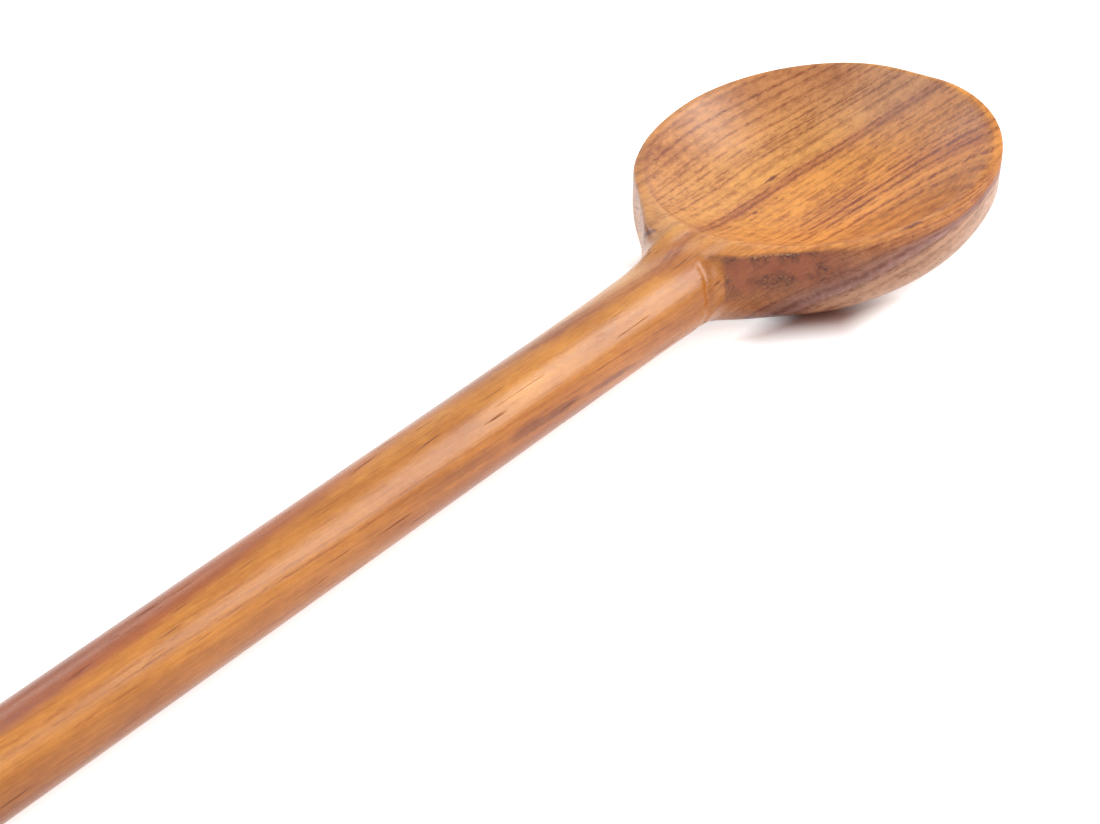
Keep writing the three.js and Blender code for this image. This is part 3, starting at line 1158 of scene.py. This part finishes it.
@dataclass
class CarvedSpoon:
    """The whole spoon as one closed skin: stations along X, a ring of points round each.

    Attributes:
        form: the lengths and formulas.
        wood: its growth layers.
        finish: its surface.
    """

    form: SpoonForm = field(default_factory=SpoonForm)
    wood: GrowthLayers = field(default_factory=GrowthLayers)
    finish: OiledTeak = field(default_factory=OiledTeak)
    dome_rows: int = 14
    handle_rows: int = 84
    neck_rows: int = 84
    neck_margin: float = 4.0
    bowl_rows: int = 80
    tip_rows: int = 56
    tip_start: float = 0.55
    tip_edge_rows: int = 12
    tip_edge: Range = (0.69, 0.97)
    rim_columns: int = 12
    land_columns: int = 10
    land_crowding: float = 1.4
    land_widest: float = 0.975
    land_narrowest: float = 0.45
    land_rounding: float = 1.0
    hollow_columns: int = 46
    hollow_crowding: float = 1.2
    side_columns: int = 14
    keel_columns: int = 16
    side_share: float = 0.8

    def stations(self) -> Array:
        """Stations from the handle's dome to the tip, close together where the form turns quickly.

        Returns:
            Rising stations, without the two end points.
        """
        form = self.form
        quarter = np.linspace(0.0, 0.5 * np.pi, self.dome_rows + 1)[1:]
        dome = form.handle_end + form.end_dome * (1.0 - np.cos(quarter))
        neck_from = form.blend_from - self.neck_margin
        neck_to = form.blend_to + self.neck_margin
        tip_from = self.tip_start * form.tip
        handle = np.linspace(dome[-1], neck_from, self.handle_rows + 1)[1:]
        neck = np.linspace(neck_from, neck_to, self.neck_rows + 1)[1:]
        bowl = np.linspace(neck_to, tip_from, self.bowl_rows + 1)[1:]
        sweep = np.linspace(0.0, 0.5 * np.pi, self.tip_rows + 1)[1:-1]
        nose = tip_from + (form.tip - tip_from) * np.sin(sweep)
        edge = form.tip * fall(np.linspace(*self.tip_edge, self.tip_edge_rows), form.tip_rim_squareness)
        return np.unique(np.concatenate((dome, handle, neck, bowl, nose, edge)))

    def upper(self, u: Array, side: Side) -> tuple[Array, Array]:
        """Upper half of the rings on one side, from the outline to the middle.

        The columns climb the wall evenly in turn, cross the land, and go down the hollow from its edge,
        so that the edge lies along a column. The edge's rounding fades out down the wall.

        Args:
            u: stations as a column.
            side: the half of the spoon.

        Returns:
            Places across and heights, one row per station.
        """
        form = self.form
        cut = form.section(u)
        climb = np.sin(np.linspace(0.0, 0.5 * np.pi, self.rim_columns + 1))[None, :]
        wall_z = lerp(cut["side"], cut["wall_top"], climb)
        wall_y = form.reach(u, wall_z, side)
        inner = wall_y[:, -1:]
        edge = soft_max(form.hollow_half_width(u), self.land_narrowest * inner, self.land_rounding)
        edge = np.minimum(edge, self.land_widest * inner)
        across = np.linspace(0.0, 1.0, self.land_columns + 1)[None, 1:] ** self.land_crowding
        down = np.linspace(0.0, 1.0, self.hollow_columns + 1)[None, 1:] ** self.hollow_crowding
        land_y = np.concatenate((lerp(inner, edge, across), edge * (1.0 - down)), axis=1)
        y = side.value * np.concatenate((wall_y, land_y), axis=1)
        z = np.concatenate((wall_z, form.top(u, land_y, side)), axis=1)
        rolled = smoothstep(u, *form.right_edge_start) * (1.0 - smoothstep(u, *form.rolled_end))
        rolled = smoothstep(-y, *form.right_edge_side) * rolled
        climbed = np.concatenate((climb, np.ones((1, land_y.shape[1]))), axis=1)
        edge_radius = lerp(form.hollow_edge, form.right_hollow_edge, rolled) * climbed
        return y, soft_min(z, form.hollow(u, y), edge_radius)

    def lower(self, u: Array, side: Side) -> tuple[Array, Array]:
        """Lower half of the rings on one side, from the outline to the middle, flat where it rests.

        Args:
            u: stations as a column.
            side: the half of the spoon.

        Returns:
            Places across and heights, one row per station.
        """
        form = self.form
        cut = form.section(u)
        power = cut["under_power"]
        drop = np.linspace(0.0, self.side_share, self.side_columns + 1)[None, :]
        flank = fall(drop, power)
        inward = np.linspace(0.0, 1.0, self.keel_columns + 1)[None, 1:]
        keel = flank[:, -1:] * (1.0 - inward)
        share = np.concatenate((flank, keel), axis=1)
        depth = np.concatenate((np.broadcast_to(drop, flank.shape), fall(keel, power)), axis=1)
        y = side.value * form.half_width(u, side) * share
        return y, soft_max(lerp(cut["side"], cut["keel"], depth), 0.0, form.flat_edge)

    def skin(self) -> tuple[Array, Array, Array]:
        """All points, the four-sided faces between rings and the three-sided faces at both ends.

        Returns:
            Points in millimetres, quads and triangles, all facing outwards.
        """
        form = self.form
        u = self.stations()[:, None]
        halves = zip(
            self.upper(u, Side.LEFT),
            self.upper(u, Side.RIGHT),
            self.lower(u, Side.RIGHT),
            self.lower(u, Side.LEFT),
        )
        y, z = (
            np.concatenate((left, right[:, -2::-1], under_right[:, 1:], under_left[:, -2:0:-1]), axis=1)
            for left, right, under_right, under_left in halves
        )
        x = np.broadcast_to(u, y.shape) + form.rest_to_widest
        rows, columns = y.shape
        end_z = form.handle_axis(np.float64(form.handle_end))
        poles = np.array(
            (
                (form.handle_end + form.rest_to_widest, 0.0, end_z),
                (form.tip + form.rest_to_widest, 0.0, form.keel_end),
            )
        )
        points = np.concatenate((np.stack((x, y, z), axis=-1).reshape(-1, 3), poles))
        index = np.arange(rows * columns).reshape(rows, columns)
        onward = np.roll(index, -1, axis=1)
        quads = np.stack((index[:-1], onward[:-1], onward[1:], index[1:]), axis=-1).reshape(-1, 4)
        back = np.full(columns, rows * columns)
        back_fan = np.stack((back, onward[0], index[0]), axis=-1)
        tip_fan = np.stack((back + 1, index[-1], onward[-1]), axis=-1)
        return points, quads, np.concatenate((back_fan, tip_fan))

    def build(self) -> bpy.types.Object:
        """Puts the skin into a mesh at the origin, smooth shaded, with the zones as its attributes.

        Returns:
            The new object, linked into the scene.
        """
        points, quads, triangles = self.skin()
        mesh = bpy.data.meshes.new("spoon_body")
        mesh.from_pydata((points * MM).tolist(), [], quads.tolist() + triangles.tolist())
        mesh.polygons.foreach_set("use_smooth", np.ones(len(mesh.polygons), dtype=bool))
        mesh.update()
        normals = np.empty(points.size)
        mesh.vertex_normals.foreach_get("vector", normals)
        zones = SkinZones(self.form, self.wood, points, normals.reshape(-1, 3))
        for zone, share in zones.shares().items():
            made = mesh.attributes.new(zone.value, "FLOAT", "POINT")
            made.data.foreach_set("value", share.astype(np.float32))
        piece = bpy.data.objects.new("spoon_body", mesh)
        bpy.context.scene.collection.objects.link(piece)
        LOG.info("%s: %d points, %d faces", piece.name, len(points), len(mesh.polygons))
        return piece

    def dress(self, piece: bpy.types.Object) -> None:
        """Gives the piece its wood and ties it to the frame.

        Args:
            piece: the spoon's object.
        """
        piece.data.materials.append(self.finish.material())
        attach(piece, "root")
        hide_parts("spoon")


@dataclass(frozen=True)
class Softbox:
    """A square lamp that looks at the bowl.

    Attributes:
        name: the lamp's name.
        towards: direction from the bowl to the lamp.
        distance: how far away it is, in metres.
        size: its edge, in metres.
        share: the light that it gives a white sheet facing it, where 1 is white.
    """

    name: str
    towards: tuple[float, float, float]
    distance: float
    size: float
    share: float

    def build(self, aim: Vector) -> None:
        """Makes the lamp; its power is pi squared times the share and the distance squared.

        Args:
            aim: the point that it faces.
        """
        data = bpy.data.lights.new(self.name, "AREA")
        data.shape = "SQUARE"
        data.size = self.size
        data.energy = math.pi**2 * self.share * self.distance**2
        lamp = bpy.data.objects.new(self.name, data)
        away = Vector(self.towards).normalized()
        lamp.matrix_world = Matrix.Translation(aim + away * self.distance) @ (
            away.to_track_quat("Z", "Y").to_matrix().to_4x4()
        )
        bpy.context.scene.collection.objects.link(lamp)


@dataclass(frozen=True)
class ContactShadow:
    """The darker floor close under the bowl, which ends where the ranges run to bright.

    Attributes:
        reach: how close the spoon has to be, in millimetres.
        samples: how many rays look for it.
        openness: the open share of the sky between dark and bright.
        tint: the floor's linear colour in the shadow.
        handle_end: places along X, towards the handle.
        tip_end: places along X, towards the tip, right of the middle alone.
        tip_side: places along Y where that end counts.
        left_end: places along Y on the left.
        right_end: places along Y on the right.
        neck_end: places along Y under the neck.
        neck_back: places along X where that end counts.
    """

    reach: float = 8.5
    samples: int = 8
    openness: Range = (0.3, 0.9)
    tint: tuple[float, float, float, float] = (0.66, 0.44, 0.39, 1.0)
    handle_end: Range = (-7.5, -15.5)
    tip_end: Range = (3.0, 15.0)
    tip_side: Range = (-13.0, -23.0)
    left_end: Range = (14.0, 22.0)
    right_end: Range = (-18.5, -23.5)
    neck_end: Range = (-13.2, -7.8)
    neck_back: Range = (0.0, -6.0)

    def brightness(self, bench: NodeBench) -> Socket:
        """Share of the floor's own brightness.

        Args:
            bench: the floor's node bench.

        Returns:
            Zero in the darkest shadow, one outside it.
        """
        x, y, _ = bench.axes
        near = {"Distance": self.reach * MM}
        sky = bench.node("ShaderNodeAmbientOcclusion", near, samples=self.samples).outputs["AO"]
        ends = (
            bench.span(x, *self.handle_end),
            bench.times(bench.span(x, *self.tip_end), bench.span(y, *self.tip_side)),
            bench.span(y, *self.left_end),
            bench.span(y, *self.right_end),
            bench.times(bench.span(x, *self.neck_back), bench.span(y, *self.neck_end)),
        )
        bright = bench.span(sky, *self.openness)
        for end in ends:
            bright = bench.larger(bright, end)
        return bright


@dataclass
class Studio:
    """White floor, soft lamps, pale surroundings and the camera; lengths are in metres."""

    floor_size: float = 6.0
    floor_drop: float = 0.02 * MM
    floor_white: tuple[float, float, float, float] = (0.9, 0.9, 0.9, 1.0)
    floor_glow: float = 0.68
    floor_far_glow: float = 0.9
    far_squares: Range = (0.2 / MM**2, 1.2 / MM**2)
    contact: ContactShadow = field(default_factory=ContactShadow)
    surroundings: float = 0.42
    aim: Vector = field(default_factory=lambda: Vector((0.0, 0.0, 0.01)))
    lamps: tuple[Softbox, ...] = (
        Softbox("overhead", (0.0, 0.40, 0.9), 0.9, 0.5, 0.22),
        Softbox("back_left", (0.28, 0.80, 0.53), 2.2, 0.7, 0.075),
        Softbox("side_high", (0.66, -0.18, 0.73), 0.9, 0.26, 0.12),
        Softbox("side_low", (0.58, -0.56, 0.59), 0.9, 0.56, 0.54),
    )
    photo_width: float = 1100.0
    focal_pixels: float = 1900.0
    sensor: float = 36.0
    clip_start: float = 0.01
    camera_at: tuple[float, float, float] = (-0.242139, -0.146661, 0.153754)
    camera_right: tuple[float, float, float] = (0.61036, -0.79212, -0.00232)
    camera_down: tuple[float, float, float] = (-0.42472, -0.32479, -0.84506)
    camera_forward: tuple[float, float, float] = (0.66864, 0.51677, -0.53467)

    def build_floor(self) -> None:
        """A white sheet just under the spoon, which takes its shadow.

        Where a ray sees it clearly it also glows, more so far away, except in the contact shadow.
        """
        half = 0.5 * self.floor_size
        corners = ((-half, -half), (half, -half), (half, half), (-half, half))
        mesh = bpy.data.meshes.new("floor")
        mesh.from_pydata([(x, y, -self.floor_drop) for x, y in corners], [], [(0, 1, 2, 3)])
        floor = bpy.data.objects.new("floor", mesh)
        bpy.context.scene.collection.objects.link(floor)
        paper = bpy.data.materials.new("white_paper")
        paper.use_nodes = True
        bench = NodeBench(paper.node_tree)
        bright = self.contact.brightness(bench)
        colour = bench.mix(bright, self.contact.tint, self.floor_white)
        away = bench.dot(bench.place, bench.place)
        glow = bench.times(bright, bench.span(away, *self.far_squares, self.floor_glow, self.floor_far_glow))
        glow = bench.times(bench.clear_rays(), glow)
        layers = {
            0: bench.node("ShaderNodeBsdfDiffuse", {"Color": colour}).outputs[0],
            1: bench.node("ShaderNodeEmission", {"Strength": glow}).outputs[0],
        }
        surface = bench.node("ShaderNodeAddShader", layers).outputs[0]
        bench.node("ShaderNodeOutputMaterial", {"Surface": surface})
        mesh.materials.append(paper)

    def build_surroundings(self) -> None:
        """Pale light from all round, which the camera and mirror rays see as white."""
        world = bpy.data.worlds.new("studio")
        world.use_nodes = True
        bench = NodeBench(world.node_tree)
        strength = bench.span(bench.clear_rays(), 0.0, 1.0, self.surroundings, 1.0)
        inputs = {"Strength": strength, "Color": (1.0, 1.0, 1.0, 1.0)}
        sky = bench.node("ShaderNodeBackground", inputs).outputs[0]
        bench.node("ShaderNodeOutputWorld", {"Surface": sky})
        bpy.context.scene.world = world

    def build_camera(self) -> None:
        """The camera that was fitted to the photograph."""
        data = bpy.data.cameras.new("camera")
        data.sensor_fit = "HORIZONTAL"
        data.sensor_width = self.sensor
        data.lens = self.focal_pixels * self.sensor / self.photo_width
        data.clip_start = self.clip_start
        camera = bpy.data.objects.new("camera", data)
        turn = Matrix(
            (
                self.camera_right,
                tuple(-v for v in self.camera_down),
                tuple(-v for v in self.camera_forward),
            )
        ).transposed()
        camera.matrix_world = Matrix.Translation(self.camera_at) @ turn.to_4x4()
        bpy.context.scene.collection.objects.link(camera)
        bpy.context.scene.camera = camera

    def build(self) -> None:
        """Floor, lamps, surroundings and camera, and a plain view transform."""
        self.build_floor()
        for lamp in self.lamps:
            lamp.build(self.aim)
        self.build_surroundings()
        self.build_camera()
        bpy.context.scene.view_settings.view_transform = "Standard"
        LOG.info("studio: floor, %d lamps, camera", len(self.lamps))


def main() -> None:
    """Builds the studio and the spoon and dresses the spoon."""
    logging.basicConfig(level=logging.INFO, format="%(name)s: %(message)s")
    Studio().build()
    spoon = CarvedSpoon()
    spoon.dress(spoon.build())


if __name__ == "__main__":
    main()
